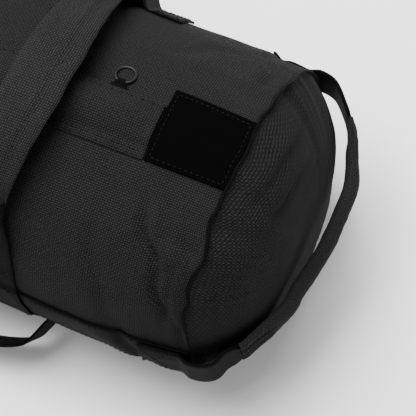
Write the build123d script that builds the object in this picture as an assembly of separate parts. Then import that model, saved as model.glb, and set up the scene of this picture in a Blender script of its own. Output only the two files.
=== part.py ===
"""Filled cylindrical training sandbag lying on its pressed flat underside.

X runs along the bag, Z is up, and the zip is on top. The origin is the bottom
centre of the bag's box, on the surface it rests on. Sizes are in millimetres.
"""
from build123d import *
import math
import os

# Bag body
bag_length = 560.0          # from end seam to end seam
body_radius = 129.0
seam_inset = 4.0            # how much smaller in radius the bag is at its end seams
taper_length = 60.0         # where the body narrows to its end seam
fabric_wall = 2.0
panel_bulge = 45.0          # how far a filled end panel stands out
pressed_depth = 14.0        # how much the underside is pressed flat
binding_width = 6.0         # tape that binds the end seam's raw edge, inside the bag
binding_thickness = 1.5

# Webbing, flat nylon strap
webbing_width = 38.0
webbing_thickness = 2.5

# Zip
zip_length = 404.0
slot_width = 15.0
tape_width = 15.0
tape_thickness = 1.0
coil_width = 6.0
coil_depth = 2.8            # the coil's top, below the body's outside
coil_below = 0.2
slider_x = 174.0            # closed position of the slider's middle
slider_length = 17.0
slider_width = 11.0
slider_plate = 1.4
bail_wire = 1.0
bail_rise = 2.4             # bail's middle above the plate
stop_length = 4.0
stop_gap = 1.5

# Pull tab and ring
tab_thickness = 0.9
tab_width = 16.0
tab_neck = 5.0
ring_radius = 7.6
ring_wire = 1.1
ring_droop = 17.0           # how far the ring slopes down the bag, in degrees
eye_y = 20.0
eye_clearance = 0.7

# Storm flap over the zip
flap_thickness = 1.6
flap_hinge_y = -20.0
flap_hem = 10.0
flap_crown_half = 5.5
flap_free_y = 14.5
flap_edge_y = 6.5            # where the flap's turned and stitched edge begins
flap_clearance = 0.85       # over the pull tab's knot, the highest thing under the flap
flap_free_rise = 4.3        # the free edge's middle above the body
flap_end_gap = 1.0

# Reinforcing patch where the zip ends
patch_length = 66.0
patch_width = 59.0
patch_thickness = 1.6
seam_allowance = 1.0         # from the patch's edge to the end seam

# Handles over the top, one round each girth strap
girth_x = 125.0
girth_end_angle = 30.0      # where the girth strap leaves the body, above level
arch_foot_angle = 25.0
arch_rise = 21.0            # strap's underside above the body, at the crown
top_grip_inset = 34.0       # from the body's side in to the end of the padded part
grip_wall = 1.0
top_grip_ease = 6.0          # how much wider each side of the padded part is than its strap
top_pad_thickness = 4.0
strap_gap = 0.3

# Handles at the ends
end_handle_reach = 59.0     # strap's middle beyond the end seam
end_strap_thickness = 3.0
end_strap_overlap = 14.0
end_strap_clearance = 0.8
end_grip_thickness = 12.0
end_grip_width = 18.0
end_rise = 13.0             # straight run past the end seam before the loop turns in
end_shoulder = 40.0         # reach of the loop's shoulder past the end seam
end_shoulder_inset = 30.0   # from the strap's side in to that shoulder
end_straight_inset = 77.0   # and in to the straight grip
end_grip_straight = 60.0
end_foam_inset = 13.3       # from the start of the straight grip in to the foam's end
end_foam_thickness = 3.0

# Handles along the sides
side_angle = 30.0           # back handle, above level; the front one is opposite
side_tail_gap = 8.0         # from the girth strap's edge out to the sewn tail
side_tail_length = 26.0
side_shoulder_inset = 10.0  # from the girth strap's edge in to the loop's shoulder
side_crown_inset = 44.0     # and in to the start of its straight crown
side_shoulder_rise = 30.0
side_rise = 43.0
side_loop_half = 92.0
side_grip_half = 72.0
side_grip_ease = 2.0
side_pad_thickness = 4.0

# Filling
filler_count = 4
filler_gap = 3.0
filler_clearance = 2.0        # inside the end seams' binding
filler_fillet = 12.0
closure_width = 22.0
closure_thickness = 2.0

half_length = bag_length / 2
seam_radius = body_radius - seam_inset
axis_z = webbing_thickness + body_radius - pressed_depth
BIG = 4 * bag_length


def above(z):
    return Pos(0, 0, z) * Box(BIG, BIG, BIG, align=(Align.CENTER, Align.CENTER, Align.MIN))


def block(x, y, z):
    """A box between pairs of limits, with y and z measured from the bag's axis."""
    size = [hi - lo for lo, hi in (x, y, z)]
    middle = [(hi + lo) / 2 for lo, hi in (x, y, z)]
    return Pos(middle[0], middle[1], middle[2] + axis_z) * Box(*size)


def surface(y):
    """Height of the body's outside above the bag's axis, at a distance y from its middle."""
    return math.sqrt(body_radius**2 - y**2)


def bag_body(offset, floor, reach=0.0):
    """The filled body, thickened by offset and cut flat at floor."""
    end, shoulder = half_length + reach, half_length - taper_length
    outline = Polyline(
        (-end, 0), (-end, seam_radius + offset), (-shoulder, body_radius + offset),
        (shoulder, body_radius + offset), (end, seam_radius + offset), (end, 0), close=True,
    )
    return Pos(0, 0, axis_z) * revolve(make_face(outline), Axis.X) & above(floor)


def end_dome(offset, floor):
    """The right end panel's filled shape, outside the end seam."""
    r, b = seam_radius + offset, panel_bulge + offset
    crown = Bezier((0, r), (0.64 * b, 0.84 * r), (b, 0.5 * r), (b, 0))
    outline = make_face([crown, Line((b, 0), (0, 0)), Line((0, 0), (0, r))])
    return Pos(half_length, 0, axis_z) * revolve(outline, Axis.X) & above(floor)


def end_bore(wall):
    """The straight hollow that runs out through both end seams, inside a wall."""
    return Pos(0, 0, axis_z) * Rot(0, 90, 0) * Cylinder(seam_radius - wall, BIG) & above(rest + wall)


def mirrored(shape):
    return mirror(shape, Plane.YZ)


def strap(points, radii, thickness, width, plane):
    """A flat band that follows rounded corners in a plane, as wide as width."""
    path = FilletPolyline(*points, radius=radii)
    return extrude(plane * trace(path, thickness), width / 2, both=True)


rest = webbing_thickness
body = bag_body(0, rest)
over_webbing = bag_body(webbing_thickness, 0)
dome = end_dome(0, rest)
parts = {}

# Body and end panels
slot = block((-zip_length / 2, zip_length / 2), (-slot_width / 2, slot_width / 2), (0, BIG))
inside = bag_body(-fabric_wall, rest + fabric_wall)
inside_ends = end_bore(fabric_wall)
parts["body_shell"] = body - inside - inside_ends - slot

panel = dome - end_dome(-fabric_wall, rest + fabric_wall)
level_strap_gap = block((-BIG, BIG), (-BIG, BIG), (-webbing_width / 2, webbing_width / 2))
binding = (inside_ends & block((half_length - binding_width, half_length), (-BIG, BIG), (-BIG, BIG)))
binding -= end_bore(fabric_wall + binding_thickness)
patch_zone = block((half_length - patch_length, half_length - seam_allowance),
                   (-patch_width / 2, patch_width / 2), (0, BIG))
patch = (bag_body(patch_thickness, 0) - body) & patch_zone

# Girth straps, sewn round the underside and over the level straps
girth_zone = block((girth_x - webbing_width / 2, girth_x + webbing_width / 2), (-BIG, BIG),
                   (-BIG, body_radius * math.sin(math.radians(girth_end_angle))))
lap_half = webbing_width / 2 + 6.0
lap_zone = block((-BIG, BIG), (-BIG, BIG), (-lap_half, lap_half))
girth = ((over_webbing - body) & girth_zone) - level_strap_gap
girth += (bag_body(2 * webbing_thickness, 0) - over_webbing) & girth_zone & lap_zone

# Arched straps over the top, between the two ends of a girth strap
foot = math.radians(arch_foot_angle)
foot_y, foot_z = body_radius * math.cos(foot), body_radius * math.sin(foot)
crown_z = body_radius + arch_rise
arch_centre = (crown_z**2 - foot_y**2 - foot_z**2) / (2 * (crown_z - foot_z))
arch_radius = crown_z - arch_centre
top_grip_reach = body_radius - top_grip_inset


def arch(inner, outer, width):
    """A ring of strap in the plane of a girth strap, between two heights from its underside."""
    axis = Pos(girth_x, 0, axis_z + arch_centre) * Rot(0, 90, 0)
    ring = Cylinder(arch_radius + outer, width) - Cylinder(arch_radius + inner, width)
    return axis * ring


def between(reach):
    return block((-BIG, BIG), (-reach, reach), (0, BIG))


arch_strap = arch(0, webbing_thickness, webbing_width)
anchor_zone = above(axis_z + body_radius * math.sin(math.radians(girth_end_angle)))
pad_top = webbing_thickness + strap_gap / 3 + top_pad_thickness
cavity_top = pad_top + strap_gap / 3
top_anchor = (arch_strap & anchor_zone) - between(top_grip_reach + strap_gap) - body
top_webbing = arch_strap & between(top_grip_reach)
top_pad = arch(webbing_thickness + strap_gap / 3, pad_top, webbing_width) & between(top_grip_reach - 4)
top_grip_width = webbing_width + 2 * top_grip_ease
top_sleeve = arch(-grip_wall, cavity_top + grip_wall, top_grip_width)
top_sleeve -= arch(0, cavity_top, top_grip_width - 2 * grip_wall)
top_sleeve &= between(top_grip_reach)

# End handle: a level loop from one side of the bag to the other
strap_y = seam_radius + seam_inset * end_strap_overlap / taper_length
strap_y += webbing_thickness + end_strap_clearance + end_strap_thickness / 2
reach_x = half_length + end_handle_reach
end_grip_half = strap_y - end_shoulder_inset
half_path = [
    (half_length - end_strap_overlap, strap_y), (half_length + end_rise, strap_y),
    (half_length + end_shoulder, end_grip_half), (reach_x, strap_y - end_straight_inset),
]
path = half_path + [(x, -y) for x, y in reversed(half_path)]
bends = [24.0, 40.0, 60.0, 60.0, 40.0, 24.0]
level = Plane.XY.offset(axis_z)


def waisted(middle, ends, straight, half):
    """A cutter that is narrow over a handle's grip and flares to its ends."""
    a, b = middle / 2, ends / 2
    side = [(-half, b), (-straight, a), (straight, a), (half, b)]
    outline = Polyline(*side, *[(y, -z) for y, z in reversed(side)], close=True)
    return Pos(half_length, 0, axis_z) * extrude(Plane.YZ * make_face(outline), BIG)


def end_band(thickness, width):
    return strap(path, bends, thickness, width, level)


end_cut = block((half_length, BIG), (-end_grip_half, end_grip_half), (-BIG, BIG))
end_ends = end_band(end_strap_thickness, webbing_width) - end_cut
inner_width, inner_flare = end_grip_width - 4 * grip_wall, webbing_width - 4 * grip_wall
end_core = end_band(end_strap_thickness, webbing_width) & end_cut
end_core &= waisted(inner_width, inner_flare, end_grip_straight, end_grip_half)
end_webbing = end_ends + end_core
grip_outer = end_band(end_grip_thickness, webbing_width) & end_cut
grip_outer &= waisted(end_grip_width, webbing_width - grip_wall, end_grip_straight, end_grip_half)
grip_inner = end_band(end_grip_thickness - 2 * grip_wall, webbing_width) & waisted(
    end_grip_width - 2 * grip_wall, webbing_width - 3 * grip_wall, end_grip_straight,
    end_grip_half + 1)
end_sleeve = grip_outer - grip_inner
end_foam_length = 2 * (strap_y - end_straight_inset - end_foam_inset)
foam_start = reach_x - end_strap_thickness / 2 - strap_gap / 3 - end_foam_thickness / 2
end_foam = Pos(foam_start, 0, axis_z) * Box(end_foam_thickness, end_foam_length, inner_width)

right_side = {
    "end_panel": panel, "seam_binding": binding, "end_patch": patch,
    "girth_strap": girth, "top_handle_anchor": top_anchor,
    "top_handle_webbing": top_webbing, "top_handle_pad": top_pad, "top_handle_sleeve": top_sleeve,
    "end_handle_webbing": end_webbing, "end_handle_foam": end_foam, "end_handle_sleeve": end_sleeve,
}
for name, shape in right_side.items():
    parts[name + "_right"] = shape
    parts[name + "_left"] = mirrored(shape)

# Level straps that carry the end handles
level_strap = (over_webbing - body) & level_strap_gap
parts["level_strap_back"] = level_strap & block((-BIG, BIG), (0, BIG), (-BIG, BIG))
parts["level_strap_front"] = level_strap & block((-BIG, BIG), (-BIG, 0), (-BIG, BIG))

# Side handles, made over the top of the bag and turned into place
tail_z = body_radius + webbing_thickness / 2 + 0.1
girth_edge = girth_x + webbing_width / 2
side_tail_start = girth_edge + side_tail_gap
half_side = [
    (side_tail_start + side_tail_length, tail_z),
    (side_tail_start, tail_z),
    (girth_edge - side_shoulder_inset, body_radius + side_shoulder_rise),
    (girth_edge - side_crown_inset, body_radius + side_rise),
]
side_path = half_side + [(-x, z) for x, z in reversed(half_side)]
side_bends = [8.0, 16.0, 40.0, 40.0, 16.0, 8.0]
side_strap = strap(side_path, side_bends, webbing_thickness, webbing_width, Plane.XZ)
loop_zone = Box(2 * side_loop_half, BIG, BIG)
gap_zone = Box(2 * (side_loop_half + strap_gap), BIG, BIG)
side_anchor = side_strap - gap_zone
side_loop = side_strap & loop_zone
rise_z = body_radius + side_rise
pad_z = rise_z + webbing_thickness / 2 + strap_gap / 3
side_pad = Pos(0, 0, pad_z + side_pad_thickness / 2) * Box(
    2 * side_grip_half - 8, webbing_width, side_pad_thickness)
sleeve_low = rise_z - webbing_thickness / 2 - grip_wall
sleeve_high = pad_z + side_pad_thickness + strap_gap / 3 + grip_wall
side_sleeve_size = sleeve_high - sleeve_low
side_grip_width = webbing_width + 2 * side_grip_ease
side_sleeve = Box(2 * side_grip_half, side_grip_width, side_sleeve_size) - Box(
    2 * side_grip_half, side_grip_width - 2 * grip_wall, side_sleeve_size - 2 * grip_wall)
side_sleeve = Pos(0, 0, (sleeve_low + sleeve_high) / 2) * side_sleeve
side_shapes = {
    "side_handle_anchor": side_anchor, "side_handle_webbing": side_loop,
    "side_handle_pad": side_pad, "side_handle_sleeve": side_sleeve,
}
for side, turn in (("back", side_angle - 90.0), ("front", side_angle + 90.0)):
    for name, shape in side_shapes.items():
        parts[f"{name}_{side}"] = Pos(0, 0, axis_z) * Rot(turn, 0, 0) * shape

# Zip: tapes under the slot's edges, coil, stops, slider
tape_zone = block((-zip_length / 2 - 6, zip_length / 2 + 6),
                  (coil_width / 2, coil_width / 2 + tape_width), (0, BIG))
tape_ring = bag_body(-fabric_wall, 0) - bag_body(-fabric_wall - tape_thickness, 0)
parts["zip_tape_back"] = tape_ring & tape_zone
parts["zip_tape_front"] = tape_ring & mirror(tape_zone, Plane.XZ)
coil_top = body_radius - coil_below
coil_low = coil_top - coil_depth
coil_half = zip_length / 2 - 1
parts["zip_coil"] = block((-coil_half, coil_half), (-coil_width / 2, coil_width / 2), (coil_low, coil_top))
plate_low = coil_top + 0.4
plate_top = plate_low + slider_plate
slider_span = (slider_x - slider_length / 2, slider_x + slider_length / 2)
flange_low = body_radius - fabric_wall + 0.5
slider = fillet(
    block(slider_span, (-slider_width / 2, slider_width / 2), (plate_low, plate_top))
    .edges().filter_by(Axis.Z), 2.5)
for side in (-1, 1):
    edge = slider_width / 2 - 1.0
    slider += block((slider_span[0] + 3, slider_span[1] - 3),
                    (side * edge - 0.9, side * edge + 0.9), (flange_low, plate_low))
bail_z = plate_top + bail_rise
bail_half = slider_length / 2 - 2.0
bail_path = FilletPolyline(
    (slider_x - bail_half, plate_low + 0.7), (slider_x - bail_half, bail_z),
    (slider_x + bail_half, bail_z), (slider_x + bail_half, plate_low + 0.7), radius=1.8)
bail = sweep(Plane(origin=bail_path @ 0, z_dir=bail_path % 0) * Circle(bail_wire), path=bail_path)
slider += Pos(0, 0, axis_z) * Rot(90, 0, 0) * bail
parts["zip_slider"] = slider
stop_span = (slider_x + slider_length / 2 + stop_gap, slider_x + slider_length / 2 + stop_gap + stop_length)
stop = block(stop_span, (-coil_width / 2 - 0.8, coil_width / 2 + 0.8), (coil_low - 0.8, coil_top + 0.8))
stop -= parts["zip_coil"] + parts["zip_tape_back"] + parts["zip_tape_front"]
parts["zip_stops"] = stop + mirrored(stop)

# Pull tab round the bail, with an eye for the ring
eye_inner = ring_wire + eye_clearance
eye_outer = eye_inner + tab_thickness
eye_z = surface(eye_y) + eye_outer + 0.4
knot_inner = bail_wire + 0.25
knot_outer = knot_inner + tab_thickness


def along_x(shape, y, z, width):
    """Extrudes a sketch of the YZ plane, both ways from the slider's middle."""
    return Pos(slider_x, y, axis_z + z) * extrude(Plane.YZ * shape, width / 2, both=True)


tail_points = [(knot_outer - 0.3, bail_z), (8.0, surface(8.0) + 2.2), (eye_y - eye_outer + 0.4, eye_z)]
tail_sketch = trace(Polyline(*tail_points), tab_thickness)
tab = along_x(tail_sketch, 0, 0, tab_neck)
tab += along_x(tail_sketch, 0, 0, tab_width) & block((-BIG, BIG), (9.0, eye_y - 4.2), (0, BIG))
tab += along_x(Circle(knot_outer) - Circle(knot_inner), 0, bail_z, tab_neck)
tab += along_x(Circle(eye_outer) - Circle(eye_inner), eye_y, eye_z, tab_neck)
tab -= along_x(Circle(knot_inner), 0, bail_z, tab_neck) + along_x(Circle(eye_inner), eye_y, eye_z, tab_neck)
parts["zip_pull_tab"] = tab
ring_place = Pos(slider_x, eye_y, axis_z + eye_z) * Rot(-ring_droop, 0, 0) * Pos(0, ring_radius, 0)
parts["zip_pull_ring"] = ring_place * Torus(ring_radius, ring_wire)

# Storm flap: a sewn hem, and the flap that lifts
flap_span = (-half_length + patch_length + flap_end_gap, half_length - patch_length - flap_end_gap)
hem_zone = block(flap_span, (flap_hinge_y - flap_hem, flap_hinge_y - strap_gap), (0, BIG))
parts["storm_flap_hem"] = (bag_body(flap_thickness, 0) - body) & hem_zone
hinge_z = surface(flap_hinge_y) + flap_thickness / 2 + 0.5
crown = bail_z + knot_outer + flap_clearance + flap_thickness / 2
flap_points = [
    (flap_hinge_y, hinge_z), (-flap_crown_half, crown), (flap_crown_half, crown),
    (flap_free_y, surface(flap_free_y) + flap_free_rise),
]
flap_sketch = trace(FilletPolyline(*flap_points, radius=4.0), flap_thickness)
flap_length = flap_span[1] - flap_span[0]
flap = Pos(0, 0, axis_z) * extrude(Plane.YZ * flap_sketch, flap_length / 2, both=True)
parts["storm_flap"] = flap & block((-BIG, BIG), (-BIG, flap_edge_y), (-BIG, BIG))
parts["storm_flap_edge"] = flap & block((-BIG, BIG), (flap_edge_y, BIG), (-BIG, BIG))

# Filler bags inside, with their closures
room = bag_length - 2 * filler_gap
filler_length = room / filler_count - filler_gap
filler_radius = seam_radius - fabric_wall - binding_thickness - filler_clearance
closure_reach = math.sqrt(filler_radius**2 - (closure_width / 2) ** 2)
for i in range(filler_count):
    x = (i - (filler_count - 1) / 2) * room / filler_count
    filler = Cylinder(filler_radius, filler_length)
    filler = fillet(filler.edges().filter_by(GeomType.CIRCLE), filler_fillet)
    filler = Pos(x, 0, axis_z) * Rot(0, 90, 0) * filler & above(rest + fabric_wall + binding_thickness + filler_clearance)
    strip = block((x - filler_length / 2 + 20, x + filler_length / 2 - 20),
                  (-closure_width / 2, closure_width / 2), (closure_reach - 2.0, filler_radius + closure_thickness))
    strip &= Pos(0, 0, axis_z) * Rot(0, 90, 0) * Cylinder(filler_radius + closure_thickness, BIG)
    parts[f"filler_bag_{i + 1}"] = filler
    parts[f"filler_closure_{i + 1}"] = strip - filler

os.makedirs("parts", exist_ok=True)
for name, shape in parts.items():
    export_step(shape, f"parts/{name}.step")
print(len(parts), "parts; axis height", round(axis_z, 2), "hinge heights",
      "top", round(axis_z + arch_centre + math.sqrt(arch_radius**2 - top_grip_reach**2), 2),
      "flap", round(axis_z + hinge_z, 2), "eye", round(axis_z + eye_z, 2))
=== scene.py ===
"""A filled training sandbag in coarse dark canvas, with black webbing and padded handles.

Lengths are in metres. X runs along the bag, Z is up, and the zip is on top. Angles round
the bag are in radians, from level at the back, up over the zip and down the front.
"""
import math

import bmesh
import bpy
from mathutils import Matrix, Vector, noise


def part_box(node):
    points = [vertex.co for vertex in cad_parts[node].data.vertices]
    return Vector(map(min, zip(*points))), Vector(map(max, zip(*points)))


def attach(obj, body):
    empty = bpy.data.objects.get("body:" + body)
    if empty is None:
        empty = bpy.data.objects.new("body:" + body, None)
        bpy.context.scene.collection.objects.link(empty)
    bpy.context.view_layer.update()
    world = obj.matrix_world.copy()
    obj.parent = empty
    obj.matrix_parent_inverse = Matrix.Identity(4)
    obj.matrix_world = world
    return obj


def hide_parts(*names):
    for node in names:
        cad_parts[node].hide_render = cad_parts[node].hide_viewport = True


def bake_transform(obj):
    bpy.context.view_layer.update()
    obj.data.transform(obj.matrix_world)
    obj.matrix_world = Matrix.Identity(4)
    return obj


bl_info = {
    "name": "Training Sandbag",
    "version": (1, 0, 0),
    "blender": (4, 5, 0),
    "location": "3D View > Sidebar > Sandbag",
    "description": "Builds the cloth, webbing, zip and handles of a filled training sandbag",
    "category": "Object",
}

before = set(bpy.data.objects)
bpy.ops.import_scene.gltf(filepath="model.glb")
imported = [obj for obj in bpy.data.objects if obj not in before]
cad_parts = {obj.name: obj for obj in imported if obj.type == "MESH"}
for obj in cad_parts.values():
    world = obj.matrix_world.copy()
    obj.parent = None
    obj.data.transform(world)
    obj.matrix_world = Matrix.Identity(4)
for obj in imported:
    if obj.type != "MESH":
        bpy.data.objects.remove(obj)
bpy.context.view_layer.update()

# Places and sizes read from the frame
shell_low, shell_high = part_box("body_shell")
HALF_LENGTH = shell_high.x
BODY_RADIUS = shell_high.y
AXIS_Z = shell_high.z - BODY_RADIUS
STRAP_THICKNESS = shell_low.z
girth_low, girth_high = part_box("girth_strap_right")
GIRTH_X = (girth_low.x + girth_high.x) / 2
STRAP_WIDTH = girth_high.x - girth_low.x
panel_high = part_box("end_panel_right")[1]
SEAM_RADIUS = panel_high.y
PANEL_BULGE = panel_high.x - HALF_LENGTH
patch_low, patch_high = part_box("end_patch_right")
flap_low, flap_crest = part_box("storm_flap")
flap_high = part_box("storm_flap_edge")[1]
hem_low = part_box("storm_flap_hem")[0]
slider_low, slider_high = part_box("zip_slider")
SLIDER_X = (slider_low.x + slider_high.x) / 2
ring_low, ring_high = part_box("zip_pull_ring")
coil_low, coil_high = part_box("zip_coil")
ZIP_HALF = coil_high.x + 0.001

# The strap of a top handle arches over the bag as part of a circle, whose centre is above
# the bag's axis, through the crown and the places where it leaves the canvas
arch_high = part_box("top_handle_webbing_right")[1]
TOP_REACH = arch_high.y
arch_top = arch_high.z - AXIS_Z - STRAP_THICKNESS
foot_y = BODY_RADIUS * math.cos(math.radians(25))
foot_z = BODY_RADIUS * math.sin(math.radians(25))
ARCH_CENTRE = (arch_top**2 - foot_y**2 - foot_z**2) / (2 * (arch_top - foot_z))
ARCH_RADIUS = arch_top - ARCH_CENTRE

BACK, TOP, FRONT = 0.0, math.pi / 2, math.pi
SIDES = ((1, "right"), (-1, "left"))

# The body's canvas is this thick; the end seam sinks a little below its radius, and the
# seam's waver dies away in the cloth beside it over this distance
WALL, SEAM_SINK, WAVER_REACH = 0.0016, 0.0012, 0.016
# From the canvas to the middle of a strap sewn on it, and half the width of the box and
# cross that are sewn on a strap's end
STRAP_LIFT, CROSS_HALF = STRAP_THICKNESS / 2 + 0.0002, 0.0155
# How square the section of a flat padded grip is, where its end rows of stitches lie along
# it, and where the flap's edge stitches lie across the flap
GRIP_POWER, ROW_ENDS, EDGE_ROW = 3.2, (0.022, 0.978), 0.93


class BagSizes(bpy.types.PropertyGroup):
    """Sizes of the cloth, stitching and creases that a maker would change."""
    weave_pitch: bpy.props.FloatProperty(
        name="Weave pitch", description="Width of one crossing of the canvas",
        default=0.0018, min=0.0004, max=0.01, unit="LENGTH")
    rib_pitch: bpy.props.FloatProperty(
        name="Rib pitch", description="Spacing of the webbing's ribs",
        default=0.0019, min=0.0004, max=0.01, unit="LENGTH")
    stitch_length: bpy.props.FloatProperty(
        name="Stitch length", description="Length of one visible stitch",
        default=0.0030, min=0.001, max=0.01, unit="LENGTH")
    stitch_gap: bpy.props.FloatProperty(
        name="Stitch gap", description="Gap between two stitches",
        default=0.0012, min=0.0003, max=0.01, unit="LENGTH")
    thread_radius: bpy.props.FloatProperty(
        name="Thread radius", description="Half the thickness of the sewing thread",
        default=0.0004, min=0.0001, max=0.002, unit="LENGTH")
    pucker: bpy.props.FloatProperty(
        name="Seam pucker", description="Height of the gathers along the end seams",
        default=0.0022, min=0.0, max=0.006, unit="LENGTH")
    undulation: bpy.props.FloatProperty(
        name="Body undulation", description="Height of the lumps of the filling under the canvas",
        default=0.0024, min=0.0, max=0.008, unit="LENGTH")


class BagColours(bpy.types.PropertyGroup):
    """Colours of the cloth, webbing and metal."""
    canvas: bpy.props.FloatVectorProperty(
        name="Canvas", description="Colour of the coarse body cloth", subtype="COLOR",
        size=3, default=(0.0078, 0.0078, 0.0080), min=0.0, max=1.0)
    grip: bpy.props.FloatVectorProperty(
        name="Grip canvas", description="Colour of the cloth sewn round the padded handles",
        subtype="COLOR", size=3, default=(0.0100, 0.0100, 0.0102), min=0.0, max=1.0)
    webbing: bpy.props.FloatVectorProperty(
        name="Webbing", description="Colour of the nylon straps", subtype="COLOR",
        size=3, default=(0.0016, 0.0016, 0.0017), min=0.0, max=1.0)
    thread: bpy.props.FloatVectorProperty(
        name="Thread", description="Colour of the sewing thread", subtype="COLOR",
        size=3, default=(0.0035, 0.0035, 0.0036), min=0.0, max=1.0)
    metal: bpy.props.FloatVectorProperty(
        name="Blackened metal", description="Colour of the zip slider and ring",
        subtype="COLOR", size=3, default=(0.004, 0.004, 0.0042), min=0.0, max=1.0)


def scene_sizes():
    """The sizes that the sidebar shows."""
    return bpy.context.scene.bag_sizes


# --- Shape of the filled bag -------------------------------------------------------------

def smooth(t):
    """A share held between nothing and one, easing in and out."""
    t = min(max(t, 0.0), 1.0)
    return t * t * (3 - 2 * t)


def bump(distance, reach):
    """One at the middle, falling smoothly to nothing at reach."""
    return smooth(1 - abs(distance) / reach)


def wave(x, y, z=0.0):
    """Smooth unevenness between about -1 and 1, the same each time."""
    return noise.noise(Vector((x, y, z)))


def round_wave(seed, angle, scale):
    """Unevenness that runs round the bag with no join in it; a larger scale is finer."""
    return wave(seed, math.cos(angle) * scale, math.sin(angle) * scale)


def turn(angle):
    """An angle brought to within half a turn of nothing."""
    return (angle + math.pi) % (2 * math.pi) - math.pi


# Creases pressed into the canvas: where they start and end along the bag and round it in
# degrees, how wide the valley is, and how deep
CREASES = [
    (0.2482, 138, 0.2262, 119, 0.0072, 0.0062),
    (0.2600, 158, 0.2482, 138, 0.0076, 0.0062),
    (0.2735, 168, 0.2590, 134, 0.0060, 0.0030),
    (0.2615, 123, 0.2708, 130, 0.005, 0.0028),
    (0.224, 96, 0.246, 118, 0.007, 0.0016),
    (0.196, 124, 0.214, 176, 0.012, 0.0018),
    (0.252, 30, 0.268, 60, 0.008, 0.0024),
    (0.222, 168, 0.262, 205, 0.011, 0.0030),
    (0.190, 60, 0.236, 44, 0.010, 0.0015),
    (-0.238, 120, -0.252, 166, 0.010, 0.0036),
    (-0.262, 78, -0.250, 40, 0.008, 0.0028),
    (-0.226, 18, -0.256, -12, 0.010, 0.0026),
    (-0.180, 110, -0.214, 150, 0.011, 0.0020),
    (0.240, -8, 0.256, 24, 0.009, 0.0028),
    (0.060, 118, -0.030, 134, 0.014, 0.0016),
    (-0.070, 40, 0.040, 62, 0.014, 0.0015),
    (0.075, 196, -0.080, 204, 0.016, 0.0018),
]


def crease(x, angle):
    """Depth of all the creases at a place: a narrow valley with a soft ridge beside it."""
    depth = 0.0
    for x0, a0, x1, a1, width, deep in CREASES:
        y0, y1 = math.radians(a0) * BODY_RADIUS, math.radians(a1) * BODY_RADIUS
        run_x, run_y = x1 - x0, y1 - y0
        middle = (y0 + y1) / 2
        y = middle + turn((angle * BODY_RADIUS - middle) / BODY_RADIUS) * BODY_RADIUS
        length = math.hypot(run_x, run_y)
        along = ((x - x0) * run_x + (y - y0) * run_y) / length**2
        if not -0.2 < along < 1.2:
            continue
        side = ((x - x0) * run_y - (y - y0) * run_x) / length
        side += 0.35 * width * math.sin(7 * along)
        fade = smooth((along + 0.2) / 0.4) * smooth((1.2 - along) / 0.4)
        valley = math.exp(-(side / (0.5 * width)) ** 2)
        ridge = math.exp(-((side + 1.3 * width) / (0.9 * width)) ** 2)
        depth += deep * fade * (0.55 * ridge - valley)
    return depth


def girth_sewn(angle):
    """One where a girth strap is sewn down, nothing over the top of the bag."""
    return 1 - smooth((math.sin(angle) - 0.36) / 0.16)


def skin_radius(x, angle):
    """Distance of the canvas from the bag's axis, with its lumps, gathers and creases."""
    sizes = scene_sizes()
    inset = HALF_LENGTH - abs(x)
    taper = math.sin(0.5 * math.pi * min(inset / 0.075, 1.0))
    radius = SEAM_RADIUS - SEAM_SINK + (BODY_RADIUS - SEAM_RADIUS + SEAM_SINK) * taper
    calm = smooth(abs(turn(angle - TOP)) / 0.30 - 0.35) if abs(x) < patch_high.x else 1.0
    lump, ripple = round_wave(x * 9, angle, 2.4), round_wave(x * 24 + 5, angle, 6)
    radius += sizes.undulation * (0.3 + 0.7 * calm) * (lump + 0.4 * ripple)
    side = math.copysign(1, x)
    gather, fine = round_wave(3.1 * side, angle, 9), round_wave(7.7 * side, angle, 21)
    puckered = sizes.pucker * math.exp(-inset / 0.022) * smooth(inset / 0.006)
    radius += puckered * (gather + 0.5 * fine)
    radius += crease(x, angle) * (0.25 + 0.75 * calm)
    radius -= 0.0016 * math.exp(-((abs(x) - GIRTH_X) / 0.030) ** 2) * girth_sewn(angle)
    hem_dip = bump(turn(angle - math.radians(100.5)) * BODY_RADIUS, 0.010)
    radius -= 0.0006 * hem_dip * smooth((patch_low.x - abs(x)) / 0.01)
    return radius


def floor_gap(x, lift):
    """How far the canvas stands off the floor: the girth straps pass under it."""
    under_strap = STRAP_THICKNESS * smooth((0.026 - abs(abs(x) - GIRTH_X)) / 0.006)
    return max(0.0003, under_strap + 0.0004 - lift)


def soft_over(value, soft):
    """Value where it is above nothing and nothing below, with a soft corner."""
    return soft * math.log1p(math.exp(value / soft)) if value / soft < 30 else value


def lay_on_floor(z, gap):
    """Keeps a height above the floor, with a soft bend where the cloth meets it."""
    return gap + soft_over(z - gap, 0.004)


# Tucks that draw the right end seam in: where round the bag, how wide (degrees), how far
SEAM_TUCKS = [(117, 7, 0.0042), (138, 7, 0.0074), (150, 5, 0.0030)]


def seam_waver(side, angle):
    """How far the gathered end seam strays along the bag."""
    stray = 0.0042 * round_wave(side * 5.3, angle, 3.4) + 0.0022 * round_wave(side * 1.7, angle, 9)
    if side > 0:
        for middle, spread, pull in SEAM_TUCKS:
            away = math.degrees(turn(angle - math.radians(middle)))
            stray -= pull * math.exp(-(away / spread) ** 2)
    return stray


def skin(x, angle, lift):
    """A point on the canvas, or lifted off it."""
    radius = skin_radius(x, angle) + lift
    z = lay_on_floor(AXIS_Z + radius * math.sin(angle), floor_gap(x, lift))
    side = math.copysign(1, x)
    drawn = seam_waver(side, angle) * math.exp(-(HALF_LENGTH - abs(x)) / WAVER_REACH)
    return Vector((x + drawn, radius * math.cos(angle), z))


def top_half_angle(y):
    """The angle round the bag of a place above its middle, at a distance y from it."""
    return math.acos(max(-1.0, min(1.0, y / BODY_RADIUS)))


# --- Building cloth ----------------------------------------------------------------------

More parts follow.
